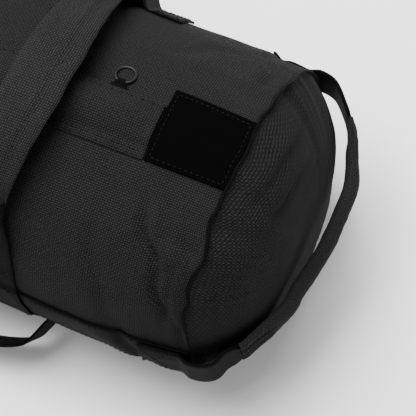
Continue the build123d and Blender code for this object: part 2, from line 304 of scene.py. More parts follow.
def finish_mesh(name, mesh_edit, material, body, outward=None):
    """Turns the faces outward and makes the object; an open sheet says which way is out."""
    bmesh.ops.recalc_face_normals(mesh_edit, faces=mesh_edit.faces)
    if outward and sum(f.normal.dot(outward) * f.calc_area() for f in mesh_edit.faces) < 0:
        bmesh.ops.reverse_faces(mesh_edit, faces=mesh_edit.faces)
    for face in mesh_edit.faces:
        face.smooth = True
    data = bpy.data.meshes.new(name)
    mesh_edit.to_mesh(data)
    mesh_edit.free()
    piece = bpy.data.objects.new(name, data)
    bpy.context.scene.collection.objects.link(piece)
    data.materials.append(material)
    if body:
        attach(piece, body)
    return piece


def cloth(name, rows, columns, flat, place, material, body, wrap=False, caps=False,
          cut=None, thickness=0.0, columns_at=None, rows_at=None, texture=None, outward=None):
    """A woven piece of flat size (length, width), laid where place(u, v) says.

    The grid's texture map is in metres, so a weave keeps its scale on any piece. columns_at
    and rows_at give uneven lines across and along the piece, and wrap joins its two sides.
    """
    work = bmesh.new()
    bmesh.ops.create_grid(work, x_segments=rows, y_segments=columns, size=0.5)
    uv_layer = work.loops.layers.uv.new("UVMap")
    spots = {}
    for vert in work.verts:
        u, v = vert.co.x + 0.5, vert.co.y + 0.5
        if rows_at:
            u = rows_at[round(u * rows)]
        if columns_at:
            v = columns_at[round(v * columns)]
        spots[vert] = (u, v)
    for face in work.faces:
        for loop in face.loops:
            u, v = spots[loop.vert]
            loop[uv_layer].uv = texture(u, v) if texture else (u * flat[0], v * flat[1])
    if cut:
        gone = [face for face in work.faces
                if cut(*[sum(spots[v][i] for v in face.verts) / 4 for i in (0, 1)])]
        bmesh.ops.delete(work, geom=gone, context="FACES")
    for vert in work.verts:
        vert.co = place(*spots[vert])
    if wrap:
        bmesh.ops.remove_doubles(work, verts=work.verts, dist=1e-6)
        bmesh.ops.dissolve_degenerate(work, dist=1e-7, edges=work.edges)
    if caps:
        rims = [e for e in work.edges if e.is_boundary]
        bmesh.ops.holes_fill(work, edges=rims, sides=0)
    piece = finish_mesh(name, work, material, body, outward)
    if thickness:
        shell = piece.modifiers.new("wall", "SOLIDIFY")
        shell.thickness = thickness
        shell.offset = -1
    return piece


def strap_section(width, thickness, flats=5, rounds=4):
    """Places round a flat strap's edge: (across, out, distance round), with rounded sides."""
    half, radius = (width - thickness) / 2, thickness / 2
    spots = []
    for i in range(flats):
        spots.append((-half + 2 * half * i / flats, radius))
    for i in range(rounds):
        a = math.pi / 2 - math.pi * i / rounds
        spots.append((half + radius * math.cos(a), radius * math.sin(a)))
    for i in range(flats):
        spots.append((half - 2 * half * i / flats, -radius))
    for i in range(rounds + 1):
        a = -math.pi / 2 - math.pi * i / rounds
        spots.append((-half + radius * math.cos(a), radius * math.sin(a)))
    run, out = 0.0, []
    for i, (across, rise) in enumerate(spots):
        if i:
            run += math.hypot(across - spots[i - 1][0], rise - spots[i - 1][1])
        out.append((across, rise, run))
    return out


def strap(name, rows, length, section, place, material, body, caps=True):
    """A strap swept along place(u, across, out), with rounded edges."""
    round_run = section[-1][2]
    at = [s[2] / round_run for s in section]
    index = {round(v, 9): i for i, v in enumerate(at)}

    def spot(u, v):
        across, out = section[index[round(v, 9)]][:2]
        return place(u, across, out)

    return cloth(name, rows, len(section) - 1, (length, round_run), spot, material, body,
                 wrap=True, caps=caps, columns_at=at)


class Route:
    """A smooth curve in a plane through a few points, walked by its share of the length."""

    def __init__(self, points, steps=24):
        pts = [points[0], *points, points[-1]]
        self.spots = []
        for a, b, c, d in zip(pts, pts[1:], pts[2:], pts[3:]):
            for i in range(steps):
                t = i / steps
                self.spots.append(tuple(
                    0.5 * (2 * b[k] + (c[k] - a[k]) * t
                           + (2 * a[k] - 5 * b[k] + 4 * c[k] - d[k]) * t**2
                           + (3 * b[k] - 3 * c[k] + d[k] - a[k]) * t**3) for k in (0, 1)))
        self.spots.append(tuple(points[-1]))
        self.runs = [0.0]
        for p, q in zip(self.spots, self.spots[1:]):
            self.runs.append(self.runs[-1] + math.dist(p, q))
        self.length = self.runs[-1]

    def at(self, u):
        """The point and the outward direction at a share u of the length."""
        goal = min(max(u, 0.0), 1.0) * self.length
        low, high = 0, len(self.runs) - 1
        while high - low > 1:
            middle = (low + high) // 2
            if self.runs[middle] <= goal:
                low = middle
            else:
                high = middle
        share = (goal - self.runs[low]) / max(self.runs[high] - self.runs[low], 1e-9)
        p, q = self.spots[low], self.spots[high]
        before, after = self.spots[max(low - 1, 0)], self.spots[min(high + 1, len(self.spots) - 1)]
        dx, dy = after[0] - before[0], after[1] - before[1]
        size = math.hypot(dx, dy)
        point = (p[0] + (q[0] - p[0]) * share, p[1] + (q[1] - p[1]) * share)
        return point, (dy / size, -dx / size)


# --- Materials ---------------------------------------------------------------------------

class Nodes:
    """Short ways to add and join a material's nodes."""

    def __init__(self, name):
        self.material = bpy.data.materials.new(name)
        self.material.use_nodes = True
        self.tree = self.material.node_tree
        self.shader = self.tree.nodes["Principled BSDF"]

    def add(self, kind, links=None, **values):
        """A new node, with its settings, and its inputs joined or given values."""
        node = self.tree.nodes.new("ShaderNode" + kind)
        for key, value in values.items():
            setattr(node, key, value)
        for key, source in (links or {}).items():
            self.put(source, node.inputs[key])
        return node

    def put(self, source, target):
        """Joins an output to an input, or gives the input a value."""
        if isinstance(source, bpy.types.NodeSocket):
            self.tree.links.new(source, target)
        else:
            target.default_value = source

    def math(self, how, a, b=None):
        """One step of arithmetic on sockets or numbers."""
        links = {0: a} if b is None else {0: a, 1: b}
        return self.add("Math", links, operation=how).outputs[0]

    def scale_and_add(self, value, factor, more):
        """A value times a factor, plus something more."""
        return self.math("ADD", self.math("MULTIPLY", value, factor), more)

    def uv(self):
        """The piece's own flat map, in metres."""
        return self.add("UVMap", uv_map="UVMap").outputs[0]

    def place(self):
        """The place on the piece, in metres."""
        return self.add("TexCoord").outputs["Object"]

    def noise(self, vector, scale, detail=2.0):
        """Soft noise between nothing and one."""
        links = {"Vector": vector, "Scale": scale, "Detail": detail}
        return self.add("TexNoise", links).outputs["Fac"]

    def colour(self, factor, dark, light):
        """A colour between dark and light; 6, 7 and 2 are the Mix node's colour sockets."""
        links = {0: factor, 6: (*dark, 1), 7: (*light, 1)}
        return self.add("Mix", links, data_type="RGBA").outputs[2]

    def finish(self, colour, roughness, height=None, strength=0.5, distance=0.0003, **shader):
        """Sets the shader's inputs, and gives the material."""
        self.put(colour, self.shader.inputs["Base Color"])
        self.put(roughness, self.shader.inputs["Roughness"])
        if height is not None:
            bumps = self.add("Bump", {"Height": height, "Strength": strength, "Distance": distance})
            self.tree.links.new(bumps.outputs[0], self.shader.inputs["Normal"])
        for key, value in shader.items():
            self.shader.inputs[key.replace("_", " ")].default_value = value
        return self.material


def scaled(colour, factor):
    """A colour made lighter or darker."""
    return tuple(min(1.0, c * factor) for c in colour)


def weave_height(kit, pitch):
    """Height of a plain weave: each crossing shows one thread over the other."""
    wobble = kit.noise(kit.uv(), 180.0, 1.0)
    shift = kit.math("MULTIPLY", kit.math("SUBTRACT", wobble, 0.5), 0.55)
    cells = kit.add("Mapping", {"Vector": kit.uv(), "Scale": (1 / pitch, 1 / pitch, 1)}).outputs[0]
    parts = kit.add("SeparateXYZ", {0: cells})
    u = kit.math("ADD", parts.outputs[0], shift)
    v = kit.math("ADD", parts.outputs[1], shift)
    across_u = kit.math("ABSOLUTE", kit.math("SINE", kit.math("MULTIPLY", u, math.pi)))
    across_v = kit.math("ABSOLUTE", kit.math("SINE", kit.math("MULTIPLY", v, math.pi)))
    cell = kit.add("CombineXYZ", {0: u, 1: v, 2: 0.5}).outputs[0]
    over = kit.add("TexChecker", {"Vector": cell, "Scale": 1.0}).outputs["Fac"]
    arch_u = kit.math("MULTIPLY", across_v, kit.scale_and_add(across_u, 0.6, 0.4))
    arch_v = kit.math("MULTIPLY", across_u, kit.scale_and_add(across_v, 0.3, 0.25))
    one = kit.math("MULTIPLY", arch_u, over)
    other = kit.math("MULTIPLY", arch_v, kit.math("SUBTRACT", 1.0, over))
    return kit.math("ADD", one, other)


def canvas_material(name, colour, pitch):
    """Coarse plain-woven nylon, faded a little in patches and fuzzy at a grazing view. The weave's
    height also sets its colour: painted shade in the hollows between threads and at their edges,
    painted highlight on their tops.
    """
    kit = Nodes(name)
    height = weave_height(kit, pitch)
    faded = kit.noise(kit.place(), 14.0, 4.0)
    speck = kit.noise(kit.uv(), 420.0, 2.0)
    # The weave's height darkens the hollows and lightens the thread tops as painted shade and
    # painted highlight; the faded patches and specks are the cloth's own
    light = kit.scale_and_add(height, 0.9, kit.math("MULTIPLY", faded, 0.35))
    light = kit.math("ADD", light, kit.math("MULTIPLY", kit.math("SUBTRACT", speck, 0.5), 0.5))
    tone = kit.colour(light, scaled(colour, 0.10), scaled(colour, 2.4))
    rough = kit.scale_and_add(faded, 0.10, 0.78)
    return kit.finish(tone, rough, height, 1.0, 0.0009, Sheen_Weight=0.004,
                      Sheen_Roughness=0.5, Specular_IOR_Level=0.04)


def webbing_material(name, colour, pitch):
    """Black nylon webbing with fine chevron ribs, with painted highlight on the high threads and
    painted shade between the ribs, and worn a little at random.
    """
    kit = Nodes(name)
    parts = kit.add("SeparateXYZ", {0: kit.uv()})
    zigzag = kit.math("PINGPONG", parts.outputs[1], 0.0030)
    along = kit.math("ADD", parts.outputs[0], kit.math("MULTIPLY", zigzag, 1.2))
    rib = kit.math("SINE", kit.math("MULTIPLY", along, 2 * math.pi / pitch))
    thread = kit.math("SINE", kit.math("MULTIPLY", parts.outputs[1], 2 * math.pi / 0.0010))
    height = kit.scale_and_add(rib, 0.35, kit.math("MULTIPLY", thread, 0.15))
    height = kit.math("ADD", height, 0.5)
    worn = kit.noise(kit.place(), 60.0, 3.0)
    # The ribs' height sets the colour: painted shade in the grooves, painted highlight on the high
    # threads; worn varies it at random
    light = kit.math("MULTIPLY", height, kit.math("ADD", worn, 0.3))
    tone = kit.colour(light, scaled(colour, 0.5), scaled(colour, 2.0))
    return kit.finish(tone, 0.66, height, 0.8, 0.0004, Sheen_Weight=0.0, Specular_IOR_Level=0.03)


def nap_material(name, colour, grain):
    """A dull napped cloth that gives back almost no light."""
    kit = Nodes(name)
    fuzz = kit.noise(kit.place(), grain, 5.0)
    tone = kit.colour(fuzz, scaled(colour, 0.4), scaled(colour, 1.6))
    return kit.finish(tone, 0.97, fuzz, 0.8, 0.0005, Specular_IOR_Level=0.02)


def thread_material(name, colour):
    """Twisted sewing thread with a slight lustre."""
    kit = Nodes(name)
    parts = kit.add("SeparateXYZ", {0: kit.uv()})
    twist = kit.scale_and_add(parts.outputs[0], 9000.0,
                              kit.math("MULTIPLY", parts.outputs[1], 4000.0))
    ply = kit.math("SINE", twist)
    # The twist's height sets the colour: painted shade in the grooves between plies, painted
    # highlight on their tops
    tone = kit.colour(kit.scale_and_add(ply, 0.5, 0.5), scaled(colour, 0.7), scaled(colour, 1.3))
    return kit.finish(tone, 0.6, ply, 0.4, 0.0001, Specular_IOR_Level=0.08)


def metal_material(name, colour):
    """Black painted metal, with the paint rubbed thin in small patches."""
    kit = Nodes(name)
    rub = kit.noise(kit.place(), 900.0, 3.0)
    tone = kit.colour(rub, scaled(colour, 0.6), scaled(colour, 2.2))
    rough = kit.scale_and_add(rub, 0.2, 0.38)
    return kit.finish(tone, rough, rub, 0.15, 0.0001, Specular_IOR_Level=0.22)


def moulded_material(name, colour, roughness):
    """Moulded nylon with a fine grain."""
    kit = Nodes(name)
    grain = kit.noise(kit.place(), 1500.0, 3.0)
    tone = kit.colour(grain, scaled(colour, 0.75), scaled(colour, 1.25))
    return kit.finish(tone, roughness, grain, 0.3, 0.0002)


MATERIALS = {}


def material(name):
    """The named finish, made once from the scene's colours and sizes."""
    if name not in MATERIALS:
        colours, sizes = bpy.context.scene.bag_colours, scene_sizes()
        makers = {
            "canvas": lambda: canvas_material(name, tuple(colours.canvas), sizes.weave_pitch),
            "grip_canvas": lambda: canvas_material(name, tuple(colours.grip), sizes.weave_pitch),
            "webbing": lambda: webbing_material(name, tuple(colours.webbing), sizes.rib_pitch),
            "patch": lambda: nap_material(name, scaled(colours.webbing, 0.5), 1400.0),
            "hook_tape": lambda: nap_material(name, tuple(colours.webbing), 900.0),
            "thread": lambda: thread_material(name, tuple(colours.thread)),
            "metal": lambda: metal_material(name, tuple(colours.metal)),
            "nylon": lambda: moulded_material(name, tuple(colours.metal), 0.42),
            "pouch": lambda: canvas_material(name, (0.05, 0.05, 0.055), 0.0009),
        }
        MATERIALS[name] = makers[name]()
    return MATERIALS[name]


def dress_node(node, finish):
    """Gives a CAD node that keeps its shape a better finish."""
    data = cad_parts[node].data
    data.materials.clear()
    data.materials.append(material(finish))


# --- Stitching ---------------------------------------------------------------------------

def stitch_row(name, places, finish, body):
    """Small stitches, one for each (middle, along, out) in places."""
    sizes = scene_sizes()
    radius, half = sizes.thread_radius, sizes.stitch_length / 2
    work = bmesh.new()
    uv_layer = work.loops.layers.uv.new("UVMap")
    for middle, along, out in places:
        side = along.cross(out).normalized()
        out = side.cross(along).normalized()
        made = bmesh.ops.create_uvsphere(work, u_segments=6, v_segments=4, radius=1.0)
        for vert in made["verts"]:
            x, y, z = vert.co
            rise = radius * (y + 0.7 * (1 - z * z) - 0.3)
            vert.co = middle + along * (z * half) + side * (x * radius) + out * rise
    for face in work.faces:
        for loop in face.loops:
            loop[uv_layer].uv = (loop.vert.co.x, loop.vert.co.y + loop.vert.co.z)
    return finish_mesh(name, work, material(finish), body)


def stitch_line(point):
    """Stitch places along point(t), which gives a spot on the cloth and its outward direction."""
    sizes = scene_sizes()
    steps = 40
    marks = [point(i / steps)[0] for i in range(steps + 1)]
    length = sum((after - before).length for before, after in zip(marks, marks[1:]))
    count = max(2, round(length / (sizes.stitch_length + sizes.stitch_gap)))
    spots = []
    for i in range(count):
        t = (i + 0.5) / count
        middle, out = point(t)
        ahead = point(min(t + 0.2 / count, 1.0))[0]
        behind = point(max(t - 0.2 / count, 0.0))[0]
        spots.append((middle, (ahead - behind).normalized(), out))
    return spots


def on_skin(x, angle, lift):
    """A spot on the canvas and the direction out of it."""
    return skin(x, angle, lift), Vector((0, math.cos(angle), math.sin(angle)))


def line_on_skin(from_spot, to_spot, lift):
    """Stitch places along a straight run on the canvas between two (x, angle) spots."""
    def point(t):
        x = from_spot[0] + (to_spot[0] - from_spot[0]) * t
        angle = from_spot[1] + (to_spot[1] - from_spot[1]) * t
        return on_skin(x, angle, lift)
    return stitch_line(point)


def boxed_cross(corners, lift):
    """The usual box with a cross in it that holds a strap's end down."""
    (x0, a0), (x1, a1) = corners
    runs = [((x0, a0), (x1, a0)), ((x1, a0), (x1, a1)), ((x1, a1), (x0, a1)), ((x0, a1), (x0, a0)),
            ((x0, a0), (x1, a1)), ((x0, a1), (x1, a0))]
    return [spot for run in runs for spot in line_on_skin(*run, lift)]


# --- Pieces ------------------------------------------------------------------------------

def make_skin():
    """The filled canvas body, with the zip's slot cut along its top."""
    rows, columns = 150, 200
    slot_half = 2  # columns of canvas left out on each side of the zip

    def place(u, v):
        return skin((2 * u - 1) * HALF_LENGTH, 2 * math.pi * v, 0.0)

    def in_slot(u, v):
        over_zip = abs(2 * u - 1) * HALF_LENGTH < ZIP_HALF
        return over_zip and abs(v * columns - columns / 4) < slot_half

    piece = cloth("canvas_body", rows, columns, (2 * HALF_LENGTH, 2 * math.pi * BODY_RADIUS), place,
                  material("canvas"), "bag", wrap=True, cut=in_slot, thickness=WALL)
    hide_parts("body_shell")


# Folds across an end panel: share of its radius, middle and spread in degrees, and depth
PANEL_FOLDS = [(0.84, 78, 42, 0.0022), (0.70, 92, 36, 0.0018), (0.60, 62, 34, 0.0014),
               (0.86, 150, 30, 0.0018), (0.66, 200, 45, 0.0014), (0.80, 300, 40, 0.0016)]


def panel_point(side, share, angle):
    """A spot on an end panel: share is 0 at its middle and 1 at the end seam."""
    rim = skin_radius(side * HALF_LENGTH, angle)
    # The gathered edge makes pleats that run in from the seam
    edge = 1 - share
    pleat, fine = abs(round_wave(2.1 * side, angle, 8)), abs(round_wave(9.4 * side, angle, 17))
    sag = round_wave(4.0 * side + share * 2.2, angle, share * 2.6)
    reach = smooth(edge / 0.04)
    dip = (0.0085 * pleat * math.exp(-edge / 0.30) + 0.0035 * fine * math.exp(-edge / 0.10)) * reach
    dip *= smooth(share / 0.6)
    # A few long folds lie across the panel, beside the top of its seam
    fold = 0.0
    for ring, middle, spread, deep in PANEL_FOLDS:
        away = share - ring - 0.04 * math.sin(3 * angle + side)
        near = bump(turn(angle - math.radians(middle)), math.radians(spread))
        valley, ridge = math.exp(-(away / 0.022) ** 2), math.exp(-((away - 0.055) / 0.03) ** 2)
        fold += deep * near * (valley - 0.7 * ridge)
    out = PANEL_BULGE * (1 - share**4.0) - dip - fold * reach - SEAM_SINK
    out += 0.0022 * sag * smooth(edge / 0.15)
    out += side * seam_waver(side, angle) * math.exp(-edge * SEAM_RADIUS / WAVER_REACH)
    z = AXIS_Z + rim * share * math.sin(angle)
    floor = 0.0005 + 0.0020 * smooth((share - 0.8) / 0.2)
    return Vector((side * (HALF_LENGTH + out),
                   rim * share * math.cos(angle), lay_on_floor(z, floor)))


def make_panel(side, word):
    """A bulging end panel and the thin dark edge of the seam round it."""
    rows = 44
    shares = [math.sin(0.5 * math.pi * i / rows) ** 0.9 for i in range(rows + 1)]

    def place(u, v):
        return panel_point(side, u, -side * 2 * math.pi * v)

    def flat_spot(u, v):
        angle = 2 * math.pi * v
        return (u * SEAM_RADIUS * math.cos(angle), u * SEAM_RADIUS * math.sin(angle))

    piece = cloth(f"end_panel_cloth_{word}", rows, 144, (1, 1), place, material("canvas"), "bag",
                  wrap=True, thickness=WALL, rows_at=shares, texture=flat_spot,
                  outward=Vector((side, 0, 0)))
    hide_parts(f"end_panel_{word}")

    def edge_place(u, across, out):
        angle = 2 * math.pi * u
        wander = 0.0004 * round_wave(side * 3.0, angle, 12)
        here = skin(side * HALF_LENGTH, angle, 0.0004 + out)
        return here + Vector((across + wander, 0, 0))

    edge = strap(f"end_seam_edge_{word}", 240, 2 * math.pi * SEAM_RADIUS,
                 strap_section(0.0026, 0.0016, 2, 3), edge_place, material("webbing"), "bag",
                 caps=False)
    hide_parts(f"seam_binding_{word}")


def arch_height(angle):
    """Distance from the bag's axis to the underside of an over-the-top strap."""
    up, side = math.sin(angle), math.cos(angle)
    inside = ARCH_RADIUS**2 - (ARCH_CENTRE * side) ** 2
    return ARCH_CENTRE * up + math.sqrt(max(inside, 0.0))


def drift(side, angle):
    """The slack over-the-top strap slants towards the bag's middle on its way down the front."""
    return -side * 0.0100 * bump(turn(angle - math.radians(142)), math.radians(62))


def girth_place(x, first, last):
    """Lays a strap round the bag at x, between two angles, lifting off to arch over the top."""

    def place(u, across, out):
        angle = first + (last - first) * u
        lift = STRAP_LIFT + out
        rise = math.sin(angle)
        if rise > -0.5:
            height = abs(BODY_RADIUS * rise)
            lift += STRAP_THICKNESS * smooth((STRAP_WIDTH / 2 + 0.008 - height) / 0.006)
        if rise > 0:
            own = skin_radius(x + across, angle)
            lift += soft_over(arch_height(angle) - own, 0.0012) * smooth(rise / 0.25)
        # It gathers in width where it enters the padded sleeve
        across *= 1 - 0.30 * smooth((AXIS_Z + lift + BODY_RADIUS * rise - 0.196) / 0.026)
        return skin(x + across + drift(math.copysign(1, x), angle), angle, lift)
    return place


def arch_angle(reach):
    """Angle round the bag of the over-the-top strap where it is reach from the middle."""
    return math.atan2(ARCH_CENTRE + math.sqrt(ARCH_RADIUS**2 - reach**2), reach)


def make_webbing():
    """The sewn straps: one level along each side, and a girth strap at each end."""
    reach = 0.2785
    section = strap_section(STRAP_WIDTH, STRAP_THICKNESS * 0.8, 8, 3)
    for angle, word in ((BACK, "back"), (FRONT, "front")):
        def level_place(u, across, out, angle=angle):
            return skin(-reach + 2 * reach * u, angle + across / BODY_RADIUS, STRAP_LIFT + out)

        piece = strap(f"level_webbing_{word}", 150, 2 * reach, section, level_place,
                      material("webbing"), "bag")
        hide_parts(f"level_strap_{word}")
    section = strap_section(STRAP_WIDTH, STRAP_THICKNESS * 0.9, 8, 3)
    top = arch_angle(TOP_REACH - 0.012)
    first = -math.pi / 2
    for side, word in SIDES:
        x = side * GIRTH_X
        # Each half runs from under the bag up one side and into the padded sleeve
        for sign, end, half_word in ((1, top, "back"), (-1, -math.pi - top, "front")):
            piece = strap(f"girth_webbing_{word}_{half_word}", 110,
                          BODY_RADIUS * abs(end - first), section, girth_place(x, first, end),
                          material("webbing"), None)
            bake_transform(piece)
            if half_word == "back":
                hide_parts(f"girth_strap_{word}", f"top_handle_anchor_{word}")


def grip(name, rows, length, half_width, half_thickness, spine, body, fill, columns, power):
    """A padded sleeve round a strap: half_width(u) and half_thickness(u) give its section,
    and spine(u, across, out) places a point of it."""
    def section(u, v):
        a = 2 * math.pi * v
        ca, sa = math.cos(a), math.sin(a)
        return (half_width(u) * math.copysign(abs(ca) ** (2 / power), ca),
                half_thickness(u, ca) * math.copysign(abs(sa) ** (2 / power), sa))

    def place(u, v):
        return spine(u, *section(u, v))

    # The weave keeps its scale round the section, whose points are not evenly spaced
    fine = 16 * columns
    runs = [0.0]
    for i in range(fine):
        runs.append(runs[-1] + math.dist(section(0.5, i / fine), section(0.5, (i + 1) / fine)))

    def texture(u, v):
        return (u * length, runs[round(v * fine)])

    # Lines along the grip are spaced evenly round its section
    lines, step = [], 0
    for i in range(columns + 1):
        while step < fine and runs[step] < runs[-1] * i / columns:
            step += 1
        lines.append(step / fine)
    piece = cloth(name, rows, columns, (length, runs[-1]), place, material("grip_canvas"), body,
                  wrap=True, caps=True, columns_at=lines, texture=texture)
    return piece


def pinch(u):
    """One along a grip, falling at its two sewn ends."""
    return smooth(min(u, 1 - u) / 0.10)


def grip_seams(name, body, spine, width, thickness, lap_at, outward):
    """Stitches along the lap of a padded grip, and across its two ends."""
    def row(spot_at):
        def point(t):
            u, share = spot_at(t)
            out = thickness(u, abs(share)) * (1 - abs(share) ** GRIP_POWER) ** (1 / GRIP_POWER)
            here = spine(u, share * width(u), out)
            return here, outward(here)
        return stitch_line(point)

    spots = row(lambda t: (0.02 + 0.96 * t, lap_at(0.02 + 0.96 * t)))
    for end in ROW_ENDS:
        spots += row(lambda t, end=end: (end, -0.86 + 1.72 * t))
    stitch_row(name, spots, "thread", body)


def make_top_handle(side, word):
    """The padded sleeve on the strap that arches over the top, at one end of the bag."""
    low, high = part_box("top_handle_sleeve_right")
    half = (high.x - low.x) / 2
    tall = high.z - AXIS_Z - ARCH_CENTRE - ARCH_RADIUS + 0.001
    x = side * GIRTH_X
    sweep = 2 * math.asin(high.y / (ARCH_RADIUS + tall / 2))

    def width(u):
        return half * (0.58 + 0.08 * pinch(u) + 0.24 * smooth(min(u, 1 - u) / 0.42))

    def thickness(u, ca):
        return (tall / 2) * (0.50 + 0.46 * pinch(u)) * (1 - 0.10 * abs(ca))

    def spine(u, across, out):
        angle = math.pi / 2 + sweep * (0.5 - u)
        radius = ARCH_RADIUS + tall / 2 - 0.0010 + out
        ends = 1 - pinch(u)
        s = across / half
        if out > 0:
            # The cloth laps over itself near one edge, where it is sewn down
            lap = side * across - 0.42 * width(u)
            radius -= 0.0011 * smooth(lap / 0.0012)
            radius -= 0.0010 * bump(lap + 0.0015, 0.0022)
            radius += 0.0006 * wave(u * 16, s * 2.5, side)
            gather = math.sin(s * 19 + 3 * wave(u * 4, s, 2.0 + side))
            radius += 0.0011 * gather * math.exp(-min(u, 1 - u) / 0.05) * (0.4 + ends)
        across += 0.0007 * wave(u * 11, 5.0 * side, s) + drift(side, angle)
        return Vector((x + across, -radius * math.cos(angle + math.pi),
                       AXIS_Z + ARCH_CENTRE + radius * math.sin(angle)))

    piece = grip(f"top_grip_{word}", 96, sweep * ARCH_RADIUS, width, thickness, spine,
                 f"top_handle_{word}", 0.6, 72, GRIP_POWER)
    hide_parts(f"top_handle_sleeve_{word}", f"top_handle_pad_{word}",
                f"top_handle_webbing_{word}")

    def outward(here):
        return Vector((0, here.y, here.z - AXIS_Z - ARCH_CENTRE)).normalized()

    grip_seams(f"top_grip_stitches_{word}", f"top_handle_{word}", spine, width, thickness,
               lambda u: side * 0.34, outward)


# The end handle's loop past the seam, as (along the bag, out to its side), with the grip's
# outer face at END_REACH
END_REACH = 0.345
END_PATH = [(0.2921, 0.1286), (0.3002, 0.1228), (0.3095, 0.1124), (0.3195, 0.1004),
            (0.3226, 0.0942), (0.3290, 0.0790), (0.3346, 0.0646), (0.3380, 0.0530),
            (0.3390, 0.0400), (0.3390, 0.0)]


def end_route(side):
    """The level loop of an end handle, from one side of the bag round to the other."""
    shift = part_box("end_handle_sleeve_right")[1].x - END_REACH
    start = []
    for x in (0.2400, 0.2500, 0.2600, 0.2700):
        settled = smooth((x - 0.250) / 0.018)
        start.append((x, skin_radius(side * x, 0.0) + 0.0042 - 0.0013 * settled))
    half = start + [(0.2800, 0.1306)] + [(x + shift, y) for x, y in END_PATH]
    # The slack loop hangs a little nearer the panel on one side
    slack = [(x - 0.0060 * smooth((0.124 - y) / 0.014) * smooth((y + 0.004) / 0.030), -y)
             for x, y in reversed(half[:-1])]
    whole = half + slack
    return Route(whole if side > 0 else [(x, -y) for x, y in reversed(whole)], 16)


def make_end_handle(side, word):
    """The webbing loop at one end of the bag, with a slim padded grip."""
    grip_low, grip_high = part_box("end_handle_sleeve_right")
    narrow = 0.018
    route = end_route(side)
    # The grip covers the part of the loop between these two shares of its length
    covered = []
    for i in range(401):
        x, y = route.at(i / 400)[0]
        if abs(y) < grip_high.y + 0.002 and x > 0.31:
            covered.append(i / 400)
    first, last = covered[0], covered[-1]

    def strap_place(u, across, out):
        (x, y), (nx, ny) = route.at(u)
        near = smooth((abs(y) - 0.098) / 0.010)
        across *= 0.40 + 0.60 * near
        here = Vector((side * (x + nx * out), y + ny * out, AXIS_Z + across))
        settle = 1 - smooth((x - 0.262) / 0.020)
        if settle > 0:
            sign = 1 if y > 0 else -1
            angle = (BACK if y > 0 else FRONT) + sign * across / BODY_RADIUS
            on_bag = skin(side * x, angle, STRAP_THICKNESS + 0.0020 + sign * ny * out)
            here = here.lerp(on_bag, settle)
        return here

    section = strap_section(STRAP_WIDTH, 0.0030, 8, 3)
    piece = strap(f"end_handle_strap_{word}", 220, route.length, section, strap_place,
                  material("webbing"), None)
    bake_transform(piece)
    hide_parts(f"end_handle_webbing_{word}")

    def flare(u):
        """One at the open ends of the grip, nothing along its middle."""
        y = abs(route.at(first + (last - first) * u)[0][1])
        return smooth((y - 0.058) / 0.042)

    def width(u):
        wide = grip_high.z - grip_low.z
        return 0.5 * (narrow + (wide - narrow) * flare(u)) * 0.985

    def thickness(u, ca):
        return 0.0060 * (1 - 0.50 * flare(u)) * (1 - 0.22 * abs(ca) * flare(u))

    def spine(u, across, out):
        (x, y), (nx, ny) = route.at(first + (last - first) * u)
        open_end = flare(u)
        s = across / max(width(u), 1e-6)
        # Ridges fan out where the tube is flattened and sewn to the strap
        ridge = math.sin(s * 9.5 + 1.5 * wave(side * 2.0, s * 2, y * 20))
        ridge *= smooth(open_end * 2 - 0.2)
        out += math.copysign(0.0011, out) * ridge * (abs(out) > 0.0008)
        out += 0.0005 * wave(y * 60, s * 2, side * 4.0) + 0.0003 * wave(y * 190, s * 3, side)
        return Vector((side * (x + nx * out), y + ny * out, AXIS_Z + across))

    piece = grip(f"end_grip_{word}", 150, (last - first) * route.length, width, thickness, spine,
                 None, 0.7, 44, 2.3)
    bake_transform(piece)
    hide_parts(f"end_handle_sleeve_{word}", f"end_handle_foam_{word}")

    # Two rows along each sewn tail, and a cross at its end
    spots = []
    for sign in (1, -1):
        for height in (-CROSS_HALF, CROSS_HALF):
            def along(t, sign=sign, height=height):
                u = 0.012 + 0.1398 * t
                here = strap_place(u if sign > 0 else 1 - u, height, sign * 0.0016)
                return here, Vector((0, sign, 0))
            spots += [s for s in stitch_line(along) if abs(s[0].x) < 0.268]
        for t0, t1 in ((-CROSS_HALF, CROSS_HALF), (CROSS_HALF, -CROSS_HALF)):
            def slanting(t, sign=sign, t0=t0, t1=t1):
                turned = sign * (t0 + (t1 - t0) * t) / BODY_RADIUS
                return on_skin(side * (0.2425 + 0.022 * t), (BACK if sign > 0 else FRONT) + turned,
                               STRAP_THICKNESS + 0.0036)
            spots += stitch_line(slanting)
    stitch_row(f"end_handle_tacks_{word}", spots, "thread", "bag")


# The side handle's loop past its sewn tail, as (along the bag, out from its skin)
SIDE_PATH = [(0.1500, 0.0000), (0.1462, 0.0035), (0.1400, 0.0165), (0.1345, 0.0262),
             (0.1262, 0.0318), (0.1130, 0.0368), (0.0980, 0.0404), (0.0800, 0.0417), (0.0, 0.0420)]


def side_route():
    """The loop of a side handle: distance along the bag, and out from its skin."""
    tail = [(0.1790, 0.0), (0.1700, 0.0), (0.1600, 0.0)]
    half = [(x, y + BODY_RADIUS + 0.0013) for x, y in tail + SIDE_PATH]
    return Route(half + [(-x, y) for x, y in reversed(half[:-1])], 14)


